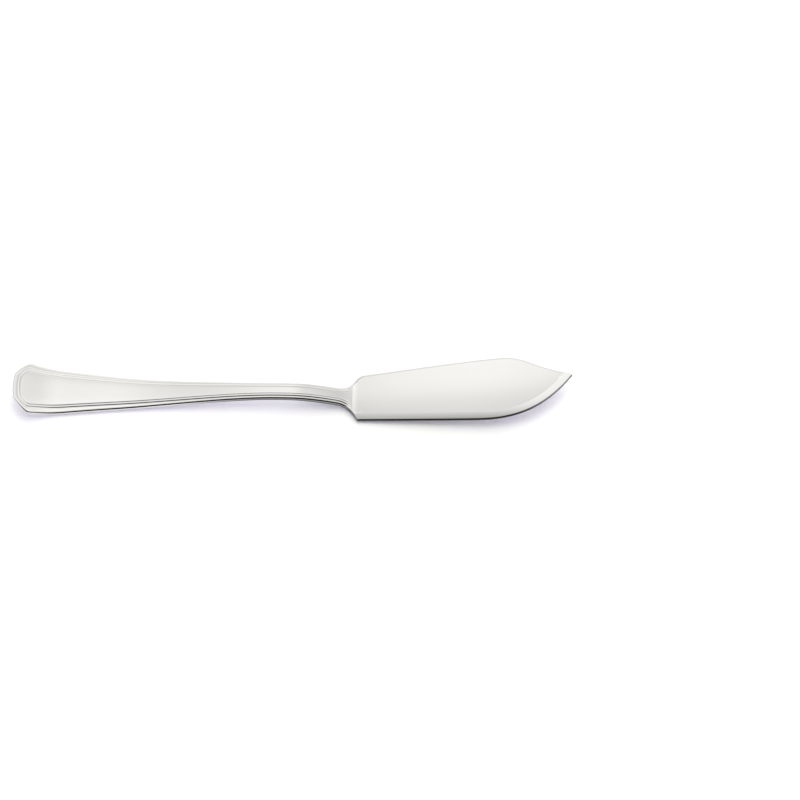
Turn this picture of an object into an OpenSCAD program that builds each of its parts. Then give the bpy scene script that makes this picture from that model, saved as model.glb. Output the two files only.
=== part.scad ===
// Fish knife, struck in one piece from a flat blank and then bent. The handle has cut corners, a
// rounded rim and two grooves with a bead between them. The neck is arched and meets the plain
// blade at a crease. The blade has a straight lower edge, a hump on its back and a curved belly.
// Lengths are in millimetres. X runs from the handle to the point, and Z is up from the table.

/* [Handle] */
// Length of the handle, from its end to the crease at the blade
handle_length = 121.5; // [100:0.5:150]
// Width of the handle across its widest point
end_width = 20.6; // [15:0.1:26]
// Width of the end, between the cut corners
end_flat = 9.4; // [6:0.1:12]
// Length of each cut corner along the handle
corner_length = 5.6; // [4:0.1:8]
// How far each cut corner bows outwards
corner_bow = 0.4; // [0:0.05:0.6]
// How far the end bows outwards
end_bow = 0.3; // [0:0.1:1]
// Radius that softens each angle of the cut corners
corner_radius = 1.6; // [0.3:0.1:2.5]
// Width of the neck
neck_width = 6.8; // [5:0.1:9]
// Distance from the crease back to where the handle stops narrowing
neck_length = 29; // [20:0.5:40]
// Hollowness of the taper: 1 is straight, and more is hollower
taper_power = 1.6; // [1:0.05:2.5]

/* [Border] */
// Width of the rim outside the grooves, along the end and the cut corners
rim_end = 1.5; // [0.8:0.1:2.5]
// Width of the rim outside the grooves, along the widest part of the sides
rim_side = 2.2; // [1:0.1:3]
// Width of the rim outside the grooves, at the neck
rim_neck = 0.55; // [0.4:0.05:1]
// Width of each groove
groove_width = 0.45; // [0.2:0.05:0.5]
// Depth of each groove
groove_depth = 0.08; // [0.03:0.01:0.3]
// Width of the bead between the grooves
bead_width = 0.5; // [0.2:0.05:0.6]
// Height to which the rim and the bead are rounded up
bead_height = 0.05; // [0:0.01:0.2]
// Distance from the crease at which the grooves run out
border_gap = 0.5; // [0.5:0.5:8]

/* [Blade] */
// Length of the blade, from the crease to the point
blade_length = 78.5; // [60:0.5:100]
// Distance from the handle's axis down to the straight edge
edge_drop = 9.1; // [6:0.1:12]
// Distance from the handle's axis up to the back of the blade at its heel
heel_rise = 9.1; // [6:0.1:12]
// Distance from the handle's axis up to the hump
hump_rise = 16.3; // [13:0.1:20]
// Distance from the point back to the hump
hump_back = 20.4; // [15:0.1:30]
// Distance from the handle's axis up to the point
point_rise = 8.7; // [4:0.1:12]
// Radius of the point
point_radius = 0.7; // [0.4:0.1:2]
// Length of the curved belly
belly_length = 34; // [25:0.5:45]
// Angle at which the belly reaches the point, from the length of the knife
belly_angle = 53.5; // [40:0.5:65]
// Radius of the hollow of each shoulder
shoulder_radius = 7; // [4:0.5:9]
// Angle of each shoulder from the length of the knife
shoulder_angle = 58; // [35:1:60]
// Distance from the crease back to where the shoulders begin
shoulder_back = 5.6; // [4:0.1:8]

/* [Thickness] */
// Thickness of the handle at its end
end_thickness = 2.1; // [1.8:0.1:4]
// Thickness of the neck at the top of its arch
neck_thickness = 2.3; // [1.8:0.1:5]
// Thickness of the rim of the handle
rim_thickness = 1.4; // [1:0.1:1.8]
// Flatness of the handle across: 2 is a plain arc, and more is flatter with rounder sides
crown_power = 4; // [2:0.5:8]
// Thickness of the blade
blade_thickness = 1.9; // [1.5:0.1:2.6]
// Thickness of the blade at its edges
edge_thickness = 1.25; // [0.7:0.05:1.4]
// Width of the rounded margin along the back
margin_width = 1.2; // [0.6:0.1:3]
// Width of the bevel along the straight edge and the belly
bevel_width = 2.8; // [1.5:0.1:4]

/* [Bend] */
// Height to which the end of the handle turns up
end_lift = 4.4; // [0:0.1:8]
// Length of the turned-up end
end_turn = 18; // [12:0.5:25]
// Length of the straight part of the handle that lies on the table
seat_length = 18; // [5:0.5:30]
// Height of the arch under the neck
arch_height = 4.2; // [1:0.1:8]
// Distance from the crease back to the top of the arch
arch_back = 22.8; // [20:0.5:32]
// Distance from the crease back to where the underside of the arch comes down to the table
arch_foot = 2; // [0:0.1:3]
// Height of the point above the table
point_lift = 5.9; // [0:0.1:10]
// Hollow of the blade's upper face, across it
dish = 0.3; // [0:0.05:0.6]

/* [Hidden] */

// Depth of the flat where the back of the handle and the heel bear on the table
seat_flat = 0.1;
// Slopes at which the upper and lower faces of the arch come down, and at which the end turns up
upper_slope = -0.33;
lower_slope = -0.26;
turn_slope = -0.28;
// Slopes of the blade's back: at the heel, at each side of the hump, and at the point
back_slope = 0.145;
hump_slope = 0.07;
fall_slope = -0.49;
point_slope = -0.185;
// Heights over which the corners of the heel and the hump are rounded
heel_round = 0.8;
back_round = 3.1;
hump_round = 2.8;
// Length and height of the small fillet in the crease
fillet_length = 1.6;
fillet_height = 0.07;
// Length over which the border gives way to the plain blade
fade_length = 1.5;
// Share of the width that the bevel and the margin may take, where the blade narrows
border_limit = 0.85;
// Rounding of the edges of the rim
edge_round = 0.5;
// Share of the thickness at an edge that its rounding may take on each face
round_limit = 0.38;
// Share of the point's lift that comes from the curve near the point, and the power of that curve
lift_curl = 0.28;
lift_power = 4;
// Depth of the rounded margin along the back, as a share of the bevel's
margin_share = 0.4;
// Hollowness of the bevel along the belly, where 0 is flat, and the share of the belly by which it is reached
flat_bevel = 0.2;
flat_start = 0.6;

// Height at which the back's two slopes would meet, if the hump were not rounded
hump_cross = hump_rise - hump_round * hump_slope * fall_slope / pow(hump_slope - fall_slope, 2);

// Places along the knife
neck_start = handle_length - neck_length;
shoulder_start = handle_length - shoulder_back;
arch_top = handle_length - arch_back;
seat_end = end_turn + seat_length;
total_length = handle_length + blade_length;
hump_x = total_length - hump_back;
belly_start = total_length - belly_length;
point_x = total_length - point_radius;
belly_end = point_x + point_radius * sin(belly_angle);
fall_end = point_x - point_radius * sin(atan(point_slope));
heel_x = shoulder_start + shoulder_radius * sin(shoulder_angle)
    + (edge_drop - neck_width / 2 - shoulder_radius * (1 - cos(shoulder_angle))) / tan(shoulder_angle);
heel_end = heel_x + back_round;

// Curves

function clamp(u) = min(1, max(0, u));
function ease(u) = let (t = clamp(u)) t * t * (3 - 2 * t);
function mix(a, b, u) = a + (b - a) * u;

// Smooth curve from height a with slope sa at place p to height b with slope sb at place q
function curve(x, p, a, sa, q, b, sb) =
    let (t = clamp((x - p) / (q - p)), span = q - p)
    a * (1 + 2 * t) * (1 - t) * (1 - t) + b * t * t * (3 - 2 * t)
    + span * t * (1 - t) * (sa * (1 - t) - sb * t);

// The lower of two heights, with the corner where they cross rounded off
function round_min(a, b, rounding) =
    let (near = max(0, rounding - abs(a - b)))
    min(a, b) - near * near / (4 * rounding);

// Plan: distance of each side from the handle's axis

corner_slope = (end_width - end_flat) / 2 / (corner_length - end_bow);
function corner_line(x) = end_flat / 2 + (x - end_bow) * corner_slope;
function taper(x) =
    let (t = clamp((x - corner_length) / (neck_start - corner_length)))
    mix(neck_width, end_width, pow(1 - t, taper_power)) / 2;
function shoulder(x) =
    let (u = x - shoulder_start, reach = shoulder_radius * sin(shoulder_angle))
    neck_width / 2
    + (u <= 0 ? 0
        : u < reach ? shoulder_radius - sqrt(shoulder_radius * shoulder_radius - u * u)
        : shoulder_radius * (1 - cos(shoulder_angle)) + (u - reach) * tan(shoulder_angle));
function handle_side(x) = x < corner_length ? corner_line(x) : x < neck_start ? taper(x) : shoulder(x);

function back_rise(x) = curve(x, handle_length, heel_rise - back_slope * (heel_x - handle_length), back_slope,
    hump_x, hump_cross, hump_slope) + hump_slope * max(0, x - hump_x);
function back_fall(x) = fall_slope * min(0, x - hump_x) + curve(x, hump_x, hump_cross, fall_slope,
    fall_end, point_rise + point_radius * cos(atan(point_slope)), point_slope);
function belly(x) = curve(x, belly_start, -edge_drop, 0,
    belly_end, point_rise - point_radius * cos(belly_angle), tan(belly_angle));
function point_arc(x) = sqrt(max(0, point_radius * point_radius - (x - point_x) * (x - point_x)));

function far_side(x) = x < shoulder_start ? handle_side(x)
    : x < fall_end ? round_min(round_min(shoulder(x), back_rise(x), back_round), back_fall(x), hump_round)
    : point_rise + point_arc(x);
function near_side(x) = x < shoulder_start ? -handle_side(x)
    : x < belly_start ? -round_min(shoulder(x), edge_drop, heel_round)
    : x < belly_end ? belly(x)
    : point_rise - point_arc(x);

// Side view: heights of the lower and upper faces along the middle, before the seat is flattened

function out(x) = clamp((x - handle_length) / blade_length);
function blade_half(x) = mix(blade_thickness, edge_thickness, 0.3 * out(x)) / 2;
function under(x) = x < end_turn ? curve(x, 0, end_lift, turn_slope, end_turn, 0, 0)
    : x < arch_top ? curve(x, seat_end, 0, 0, arch_top, arch_height, 0)
    : x < handle_length ? curve(x, arch_top, arch_height, 0, handle_length - arch_foot, 0, lower_slope)
    : point_lift * mix(out(x), pow(out(x), lift_power), lift_curl);
function fillet(x) = fillet_height * pow(1 - clamp((x - handle_length) / fillet_length), 2);
function over(x) = x < arch_top ? under(x) + mix(end_thickness, neck_thickness, ease(x / arch_top))
    : x < handle_length ? curve(x, arch_top, arch_height + neck_thickness, 0,
        handle_length, blade_thickness + fillet_height, upper_slope)
    : under(x) + 2 * blade_half(x) + fillet(x);

// Border and bevel: distances in from the side, and heights above the face

function rim(x) = mix(rim_neck, rim_side, clamp((taper(x) * 2 - neck_width) / (end_width - neck_width)));
rim_round = min(edge_round, round_limit * rim_thickness);
blade_round = min(edge_round, round_limit * edge_thickness);
corner_step = 1 - cos(45);
groove_steps = [0, groove_width / 2, groove_width, groove_width + bead_width / 2,
    groove_width + bead_width, groove_width * 1.5 + bead_width, groove_width * 2 + bead_width];
function border_steps(rim) =
    let (r = min(rim_round, 0.9 * rim))
    concat([0, corner_step * r, r], [for (step = groove_steps) rim + step]);
border_heights = [0, 0, bead_height, 0, -groove_depth, 0, bead_height, 0, -groove_depth, 0];
edge_heights = [-1, -corner_step, 0, 0, 0, 0, 0, 0, 0, 0];
function blade_steps(width) = concat([0, corner_step * blade_round],
    [for (i = [0 : 6]) mix(blade_round, width, i / 6)], [width * 1.25]);
ring_count = len(border_heights);
panel_count = 5;
face_count = 2 * ring_count + panel_count;

function plain(x) = ease((x - handle_length + border_gap + fade_length) / fade_length);
function blade_part(x) = ease((x - handle_length + 2 * fade_length) / (2 * fade_length));
function steps(x, far) = mix(border_steps(rim(x)), blade_steps(far ? margin_width : bevel_width),
    ease((x - handle_length + border_gap) / (3 * fade_length)));

// Stations round the end: the middle of the end, then the two angles of the cut corner

function unit(v) = v / norm(v);
function quarter(v) = [v.y, -v.x];
corner_along = unit([corner_length - end_bow, (end_width - end_flat) / 2]);
side_along = unit([corner_length, taper(2 * corner_length) - end_width / 2]);

// Where two sides that meet at a corner still meet, once each has moved in by its own distance
function mitre(corner, in_a, a, in_b, b) =
    let (c = in_a * in_b)
    corner + in_a * (a - c * b) / (1 - c * c) + in_b * (b - c * a) / (1 - c * c);

function soften(corner, along_a, along_b, r, t) =
    let (turn = acos(along_a * along_b), cut = r * tan(turn / 2),
        start = corner - along_a * cut, finish = corner + along_b * cut)
    mix(mix(start, corner, t), mix(corner, finish, t), t);

end_rings = border_steps(rim_end);
side_rings = border_steps(rim_side);
function ring_radius(k) = max(0.15, corner_radius - end_rings[k]);
function first_angle(k) =
    mitre([end_bow, end_flat / 2], [1, 0], end_rings[k], quarter(corner_along), end_rings[k]);
function second_angle(k) = mitre([corner_length, end_width / 2],
    quarter(corner_along), end_rings[k], quarter(side_along), side_rings[k]);
function bowed(p, k) =
    let (a = first_angle(k), b = second_angle(k),
        t = clamp((p - a) * corner_along / ((b - a) * corner_along)))
    p - quarter(corner_along) * corner_bow * 4 * t * (1 - t);
function cut_point(e, k) =
    e < 5 ? soften(first_angle(k), [0, 1], corner_along, ring_radius(k), (e - 2) / 2)
    : e < 7 ? mix(cut_point(4, k), cut_point(7, k), (e - 4) / 3)
    : soften(second_angle(k), corner_along, side_along, ring_radius(k), (e - 7) / 2);
function end_point(e, k) =
    e < 2 ? mix([end_rings[k], 0], first_angle(k), e / 2) - [end_bow * (e == 1 ? 0.25 : 0), 0]
    : bowed(cut_point(e, k), k);
end_count = 10;

// Stations along the sides

function spread(a, b, n) = [for (i = [1 : n]) mix(a, b, i / n)];
side_stations = concat(
    spread(second_angle(ring_count - 1).x, seat_end, 11),
    spread(seat_end, shoulder_start - 1, 22),
    spread(shoulder_start - 1, handle_length, 12),
    spread(handle_length, handle_length + fillet_length, 3),
    spread(handle_length + fillet_length, heel_end, 11),
    spread(heel_end, hump_x - hump_round, 12),
    spread(hump_x - hump_round, hump_x + hump_round, 9),
    spread(hump_x + hump_round, fall_end, 20),
    [for (a = [35, belly_angle, 68, 79, 86]) point_x + point_radius * sin(a)]);

// Where a line that keeps a distance from a side crosses a station: a disc of that radius is moved along it
function inset(x, far, d) =
    let (reach = [for (a = [-72 : 4 : 72]) [min(total_length, x + d * sin(a)), d * cos(a)]])
    far ? min([for (r = reach) far_side(r.x) - r.y]) : max([for (r = reach) near_side(r.x) + r.y]);

// Plan of every point of a face, from the near side to the far side

function plan_row(near, far) = concat(near,
    [for (m = [1 : panel_count]) mix(near[ring_count - 1], far[ring_count - 1], m / (panel_count + 1))],
    [for (k = [ring_count - 1 : -1 : 0]) far[k]]);
function end_row(e) =
    let (ring = [for (k = [0 : ring_count - 1]) end_point(e, k)])
    plan_row([for (p = ring) [p.x, -p.y]], ring);
function side_row(x) =
    let (low = near_side(x), high = far_side(x),
        near = [for (d = steps(x, false)) inset(x, false, d) - low],
        far = [for (d = steps(x, true)) high - inset(x, true, d)],
        fit = min(1, border_limit * (high - low) / (max(near) + max(far))))
    plan_row([for (d = near) [x, low + d * fit]], [for (d = far) [x, high - d * fit]]);

// Heights of both faces at a point of a row

function ring_of(j) = min(j, face_count - 1 - j, ring_count - 1);

// How far a point of the blade lies in from its back or from the line of its edge, which is taken to
// run on straight past the heel, up to somewhat more than the bevel
function rim_line(x, far) = far ? far_side(x) : x < belly_start ? -edge_drop : near_side(x);
function depth(p, far) = min([for (a = [-1.3 : 0.1 : 1.3])
    let (x = min(total_length, p.x + a * bevel_width)) norm([x - p.x, rim_line(x, far) - p.y])]);

// How far the upper face is cut down. The bevel is hollow along the straight edge, and nearly flat along
// the belly.
function bevel(p) =
    let (hollow = mix(1, flat_bevel, ease((p.x - belly_start) / belly_length / flat_start)),
        near = 1 - clamp(depth(p, false) / bevel_width), far = 1 - clamp(depth(p, true) / margin_width))
    (blade_thickness - edge_thickness) * max(mix(near, near * near, hollow), margin_share * far * far);
function half_thickness(p, k, y, half, up) =
    let (x = p.x, t = (over(x) - under(x)) / 2, across = clamp(abs(y) / half),
        ramp = 1 - pow(1 - clamp(x / (end_width / 2)), 2), share = blade_part(x),
        crowned = mix(rim_thickness / 2, t, (1 - pow(across, crown_power)) * ramp)
            + (up ? border_heights[k] * (1 - plain(x)) : 0),
        flat = t - (up && share > 0 ? bevel(p) : 0))
    mix(crowned, flat, share) + edge_heights[k] * mix(rim_round, blade_round, share) * clamp(half);
function place(p, k, half, middle, up) =
    let (x = p.x, y = p.y - middle, h = half_thickness(p, k, y, half, up),
        hollow = dish * pow(y / edge_drop, 2) * blade_part(x),
        centre = (over(x) + under(x)) / 2 + hollow - seat_flat)
    [x, p.y, up ? centre + h : max(0, centre - h)];

// A closed section: the upper face from near to far, then the lower face back
function section(row, half, middle) = concat(
    [for (j = [0 : face_count - 1]) place(row[j], ring_of(j), half, middle, true)],
    [for (j = [face_count - 1 : -1 : 0]) place(row[j], ring_of(j), half, middle, false)]);

sections = concat(
    [for (e = [0 : end_count - 1]) section(end_row(e), end_width / 2, 0)],
    [for (x = side_stations) let (near = near_side(x), far = far_side(x))
        section(side_row(x), (far - near) / 2, (far + near) / 2)]);

// Skin through the sections, closed at the point by a fan. The first section is folded on itself.
module skin(sections) {
    n = len(sections[0]);
    last = len(sections) - 1;
    tip = (sections[last][0] + sections[last][face_count]) / 2;
    points = concat([for (s = sections, p = s) p], [tip]);
    faces = concat(
        [for (i = [0 : last - 1], j = [0 : n - 1])
            let (a = i * n + j, b = i * n + (j + 1) % n)
            each norm(points[a] - points[b + n]) < norm(points[b] - points[a + n])
                ? [[a, b, b + n], [a, b + n, a + n]] : [[a, b, a + n], [b, b + n, a + n]]],
        [for (j = [0 : n - 1]) [last * n + j, last * n + (j + 1) % n, len(points) - 1]]);
    polyhedron(points, [for (f = faces)
        if (norm(points[f[0]] - points[f[1]]) > 0 && norm(points[f[1]] - points[f[2]]) > 0
            && norm(points[f[2]] - points[f[0]]) > 0) f]);
}

module fish_knife() {
    sides = [for (s = sections, p = s) p.y];
    color("silver")
        translate([-total_length / 2, -(min(sides) + max(sides)) / 2, 0])
            skin(sections);
}

fish_knife();
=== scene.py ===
"""Fish knife on a white table: cuts the blank, strikes and bends it, and sets the studio round it.

Lengths are in metres. X runs from the handle to the point, Y from the straight edge to the humped
back, and Z is up from the table.
"""

import math
from types import SimpleNamespace

import bpy
import numpy as np
from bpy.props import FloatProperty, FloatVectorProperty, PointerProperty
from bpy.types import Operator, Panel, PropertyGroup
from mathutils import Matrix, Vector


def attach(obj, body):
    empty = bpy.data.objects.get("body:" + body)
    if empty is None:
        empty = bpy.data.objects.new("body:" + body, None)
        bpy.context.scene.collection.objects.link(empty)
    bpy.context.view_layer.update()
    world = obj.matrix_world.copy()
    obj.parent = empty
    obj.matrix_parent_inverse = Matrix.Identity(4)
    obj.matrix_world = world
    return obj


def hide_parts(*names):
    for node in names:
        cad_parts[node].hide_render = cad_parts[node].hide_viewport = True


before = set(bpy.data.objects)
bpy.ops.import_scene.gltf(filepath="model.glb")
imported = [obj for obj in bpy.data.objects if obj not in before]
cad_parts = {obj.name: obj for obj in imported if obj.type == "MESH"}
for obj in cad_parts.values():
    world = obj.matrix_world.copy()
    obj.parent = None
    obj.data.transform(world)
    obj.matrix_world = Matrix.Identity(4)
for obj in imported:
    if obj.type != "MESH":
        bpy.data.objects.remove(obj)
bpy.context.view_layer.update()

bl_info = {
    "name": "Fish Knife",
    "version": (1, 0, 0),
    "blender": (4, 5, 0),
    "location": "View3D > Sidebar > Fish Knife",
    "description": "Makes a struck metal fish knife with a threaded border, and a studio to show it in",
    "category": "Add Mesh",
}


def number(value, name, description, **form):
    """A number as a property, with its unit where it has one."""
    return FloatProperty(name=name, description=description, default=value, **form)


def millimetres(value, name, description):
    """A length as a property, with its default given in millimetres."""
    return number(value / 1000, name, description, precision=5, unit="LENGTH", subtype="DISTANCE")


def degrees(value, name, description):
    """An angle as a property, with its default given in degrees."""
    return number(math.radians(value), name, description, unit="ROTATION", subtype="ANGLE")


def colour(value, name, description):
    """A colour as a property."""
    return FloatVectorProperty(
        name=name, description=description, default=value, subtype="COLOR", size=3, min=0, max=1
    )


class HandleSizes(PropertyGroup):
    """The handle and the neck, seen from above"""

    handle_length: millimetres(121.5, "Length", "From the end of the handle to the crease at the blade")
    end_width: millimetres(20.6, "End width", "Across the widest point of the handle")
    end_flat: millimetres(9.4, "End flat", "Width of the end, between the cut corners")
    corner_length: millimetres(5.6, "Corner length", "Length of each cut corner along the handle")
    corner_bow: millimetres(0.4, "Corner bow", "How far each cut corner bows outwards")
    end_bow: millimetres(0.3, "End bow", "How far the end bows outwards")
    corner_radius: millimetres(1.6, "Corner radius", "Softens each angle of the cut corners")
    neck_width: millimetres(6.8, "Neck width", "Across the neck")
    neck_length: millimetres(29, "Neck length", "From the crease back to where the handle stops narrowing")
    taper_power: number(1.6, "Hollowness", "Hollowness of the taper: 1 is straight")


class BorderSizes(PropertyGroup):
    """The rim, the grooves and the bead"""

    rim_end: millimetres(1.5, "Rim at the end", "Width of the rim along the end and the cut corners")
    rim_side: millimetres(2.2, "Rim at the sides", "Width of the rim along the widest part of the sides")
    rim_neck: millimetres(0.85, "Rim at the neck", "Width of the rim at the neck")
    groove_width: millimetres(0.45, "Groove width", "Width of each groove")
    groove_depth: millimetres(0.055, "Groove depth", "Mean depth of the near and the far grooves")
    groove_uneven: number(0.5, "Unevenness", "How much deeper the near grooves are than the far ones")
    bead_width: millimetres(0.5, "Bead width", "Width of the bead between the grooves")
    bead_height: millimetres(0.05, "Bead height", "Height to which the rim and the bead are rounded up")
    border_gap: millimetres(0.5, "Border gap", "Distance from the crease at which the grooves run out")


class BladeSizes(PropertyGroup):
    """The blade and its shoulders, seen from above"""

    blade_length: millimetres(78.5, "Length", "From the crease to the point")
    edge_drop: millimetres(9.1, "Edge drop", "From the handle's axis down to the straight edge")
    heel_rise: millimetres(9.1, "Heel rise", "From the handle's axis up to the back at its heel")
    hump_rise: millimetres(16.3, "Hump rise", "From the handle's axis up to the hump")
    hump_back: millimetres(20.4, "Hump place", "From the point back to the hump")
    point_rise: millimetres(8.7, "Point rise", "From the handle's axis up to the point")
    point_radius: millimetres(0.7, "Point radius", "Radius of the point")
    belly_length: millimetres(34, "Belly length", "Length of the curved belly")
    belly_angle: degrees(53.5, "Belly angle", "Angle at which the belly reaches the point")
    shoulder_radius: millimetres(7, "Shoulder radius", "Radius of the hollow of each shoulder")
    shoulder_angle: degrees(58, "Shoulder angle", "Angle of each shoulder from the knife's length")
    shoulder_back: millimetres(5.6, "Shoulder start", "From the crease back to where the shoulders begin")
    heel_round: millimetres(0.8, "Heel rounding", "Height over which the edge's heel is rounded")
    back_round: millimetres(3.1, "Back rounding", "Height over which the back's heel is rounded")
    hump_round: millimetres(2.8, "Hump rounding", "Height over which the hump is rounded")


class SectionSizes(PropertyGroup):
    """Thicknesses, and the forms of the edges and faces"""

    end_thickness: millimetres(2.1, "End thickness", "Thickness of the handle at its end")
    neck_thickness: millimetres(2.3, "Neck thickness", "Thickness of the neck at the top of its arch")
    rim_thickness: millimetres(1.4, "Rim thickness", "Thickness of the handle's rim")
    crown_power: number(4, "Crown", "Flatness of the panel: 2 is a plain arc")
    blade_thickness: millimetres(1.9, "Blade thickness", "Thickness of the blade")
    edge_thickness: millimetres(1.25, "Edge thickness", "Thickness of the blade at its edges")
    bevel_depth: millimetres(0.99, "Bevel depth", "Depth of the bevel where the belly begins")
    edge_round: millimetres(0.5, "Edge rounding", "Radius of all the edges")
    margin_width: millimetres(1.2, "Margin width", "Width of the rounded margin along the back")
    bevel_width: millimetres(2.8, "Bevel width", "Width of the bevel along the edge and the belly")
    dish: millimetres(0.3, "Dish", "Hollow of the blade's upper face, across it")


class BendSizes(PropertyGroup):
    """Heights and places of the bends, seen from the side"""

    end_lift: millimetres(4.4, "End lift", "Height to which the end of the handle turns up")
    end_turn: millimetres(18, "End turn", "Length of the turned-up end")
    seat_length: millimetres(18, "Seat length", "Length of the handle that lies on the table")
    seat_flat: millimetres(0.1, "Seat flat", "Depth of the flats that bear on the table")
    arch_height: millimetres(4.2, "Arch height", "Height of the arch under the neck")
    arch_back: millimetres(22.8, "Arch place", "From the crease back to the top of the arch")
    arch_foot: millimetres(2, "Arch foot", "From the crease back to where the arch comes down to the table")
    point_lift: millimetres(5.9, "Point lift", "Height of the point above the table")
    fillet_length: millimetres(1.6, "Fillet length", "Length of the small fillet in the crease")
    fillet_height: millimetres(0.07, "Fillet height", "Height of the small fillet in the crease")


class MetalLooks(PropertyGroup):
    """Colours of the metal and of its painted shade, and its roughness"""

    polish_colour: colour((0.95, 0.945, 0.928), "Polish", "Colour of the polished metal")
    # The colour down in the grooves is painted shade, for the dark that they reflect
    groove_shade_colour: colour((0.62, 0.61, 0.59), "Groove shade", "Colour of the metal down in the grooves")
    # The colour of the narrow sides is painted shade, for the dark that they reflect
    side_shade_colour: colour((0.13, 0.13, 0.135), "Sides", "Colour of the narrow sides, which are painted with shade")
    polish_roughness: number(0.08, "Roughness", "Roughness of the polish")
    wipe_roughness: number(0.03, "Wipe marks", "Extra roughness where it was wiped")


class StudioLooks(PropertyGroup):
    """The camera, the table and the lights"""

    azimuth: degrees(1.4, "Azimuth", "How far round the camera stands, from square on to the edge")
    elevation: degrees(60, "Elevation", "Height of the camera above the table, as an angle")
    lens: number(250, "Lens", "Focal length", unit="CAMERA")
    distance: millimetres(1988, "Distance", "From the camera to the point that it aims at")
    aim_along: millimetres(138.5, "Aim", "Place along the knife that the camera aims at")
    floor_colour: colour((0.92, 0.92, 0.92), "Floor", "Colour of the table")
    floor_lift: number(0.13, "Floor lift", "Light added to what is seen of the table")
    lift_colour: colour((0.8, 0.75, 1), "Lift colour", "Colour of that light, seen in the shadow")
    ceiling_colour: colour((1, 0.995, 0.984), "Ceiling", "Colour of the ceiling overhead and at the back")
    room_colour: colour((0.85, 0.84, 0.93), "Room", "Colour of the ceiling behind the camera")
    sky_level: number(1, "Sky", "Brightness of the studio's ceiling")
    key_power: number(20, "Key light", "Power of the lamp at the back", unit="POWER")
    key_colour: colour((0.98, 1, 0.87), "Key colour", "Colour of the lamp at the back")


SIZE_GROUPS = {
    "knife_handle": HandleSizes,
    "knife_border": BorderSizes,
    "knife_blade": BladeSizes,
    "knife_section": SectionSizes,
    "knife_bend": BendSizes,
}
GROUPS = {**SIZE_GROUPS, "knife_metal": MetalLooks, "knife_studio": StudioLooks}

# Slopes of the side view: at the end, and at the foot of the arch on the lower and the upper face
TURN_SLOPE = -0.28
LOWER_SLOPE = -0.26
UPPER_SLOPE = -0.33
# Share of the point's lift that comes from the curve near the point, and the power of that curve
LIFT_CURL = 0.28
LIFT_POWER = 4
# How much the blade thins towards its point, where 1 is down to the thickness of its edges
POINT_THINNING = 0.3
# Slopes of the blade's back: at the heel, at each side of the hump, and at the point
BACK_SLOPE = 0.145
HUMP_SLOPE = 0.07
FALL_SLOPE = -0.49
POINT_SLOPE = -0.185
# Lengths over which the border's form and its columns give way to the plain blade
FADE_LENGTH = 0.0015
COLUMN_FADE = 3 * FADE_LENGTH
# Hollowness of the bevel, where 0 is flat
BEVEL_HOLLOW = 0.17
# Depth of the bevel at the heel, as a share of its depth where the belly begins
HEEL_BEVEL = 0.85
# Depth of the margin along the back, as a share of the depth of the belly's bevel
MARGIN_DEPTH = 0.4
# Share of the width that the bevel and the margin may take, where the blade narrows
MARGIN_LIMIT = 0.85
# Where the near grooves get deeper than the far ones, in lengths of a cut corner, and how fast
DEEPER_START = 0.85
DEEPER_RATE = 4
# How strongly the narrow sides are painted with shade round the handle and at the neck, and where and how
# fast that changes, as shares of the way to the top of the arch
HANDLE_SIDE_SHADE = 0.35
NECK_SIDE_SHADE = 0.85
SIDE_SHADE_START = 0.5
SIDE_SHADE_RATE = 2.5

# Columns of points over the rounded edge, the rim, each groove, the bead and the panel
ROUND_COLUMNS = 6
RIM_COLUMNS = 6
GROOVE_COLUMNS = 8
BEAD_COLUMNS = 6
PANEL_COLUMNS = 36
# Columns where the bevel or the margin meets the blade's face, as shares of its width
CREASE_COLUMNS = (0.99, 0.997, 1.003, 1.01, 1.25)
# Rows of points over the end, round each angle of a cut corner and past it, and from angle to angle
ANGLE_ROWS = 9
CUT_ROWS = 12
# Least radius to which the angles of a cut corner come down inside the border
LEAST_RADIUS = 0.00015
# Length past a cut corner over which its slanting rows turn square to the knife
RUN_IN = 0.0015
# How far before the shoulder, and to each side of the crease, the rows change their spacing
BEFORE_SHOULDER = 0.001
BESIDE_CREASE = 0.0005
# Rows round the point: their first and last angle and their number
POINT_ROWS = (18, 82, 15)
# Angles at which the disc is tried that measures a distance in from a side
DISC_ANGLES = np.radians(np.arange(-75, 75.1, 1))
# Places along the knife, in widths of the bevel, to which a point's distance from a side is tried
NEARBY = np.linspace(-1.3, 1.3, 61)
# Number of places along the knife at which its outline is measured
OUTLINE_PLACES = 4000
# Points of the struck knife that lie closer are merged
MERGE_DISTANCE = 0.0000001

# What every point of the flat blank keeps for the strike: its place along the knife, its distance in
# from its side, the rim's width there, its distance from the middle, the same as a share of the way to
# the side, its distances from the edge and from the back, and which face it is on
KEPT = ("station", "inset", "rim", "offset", "across", "edge", "back", "face")

STRIKE_SIZES = (
    "handle_length", "end_width", "corner_length", "neck_width", "groove_width", "groove_depth",
    "groove_uneven", "bead_width", "bead_height", "border_gap", "blade_length", "edge_drop",
    "crown_power", "end_thickness", "neck_thickness", "rim_thickness", "blade_thickness",
    "edge_thickness", "edge_round", "margin_width", "bevel_width", "bevel_depth", "dish",
    "belly_start", "belly_length", "end_lift", "end_turn", "seat_end", "seat_flat", "arch_height",
    "arch_top", "arch_end", "point_lift", "fillet_length", "fillet_height",
)


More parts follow.
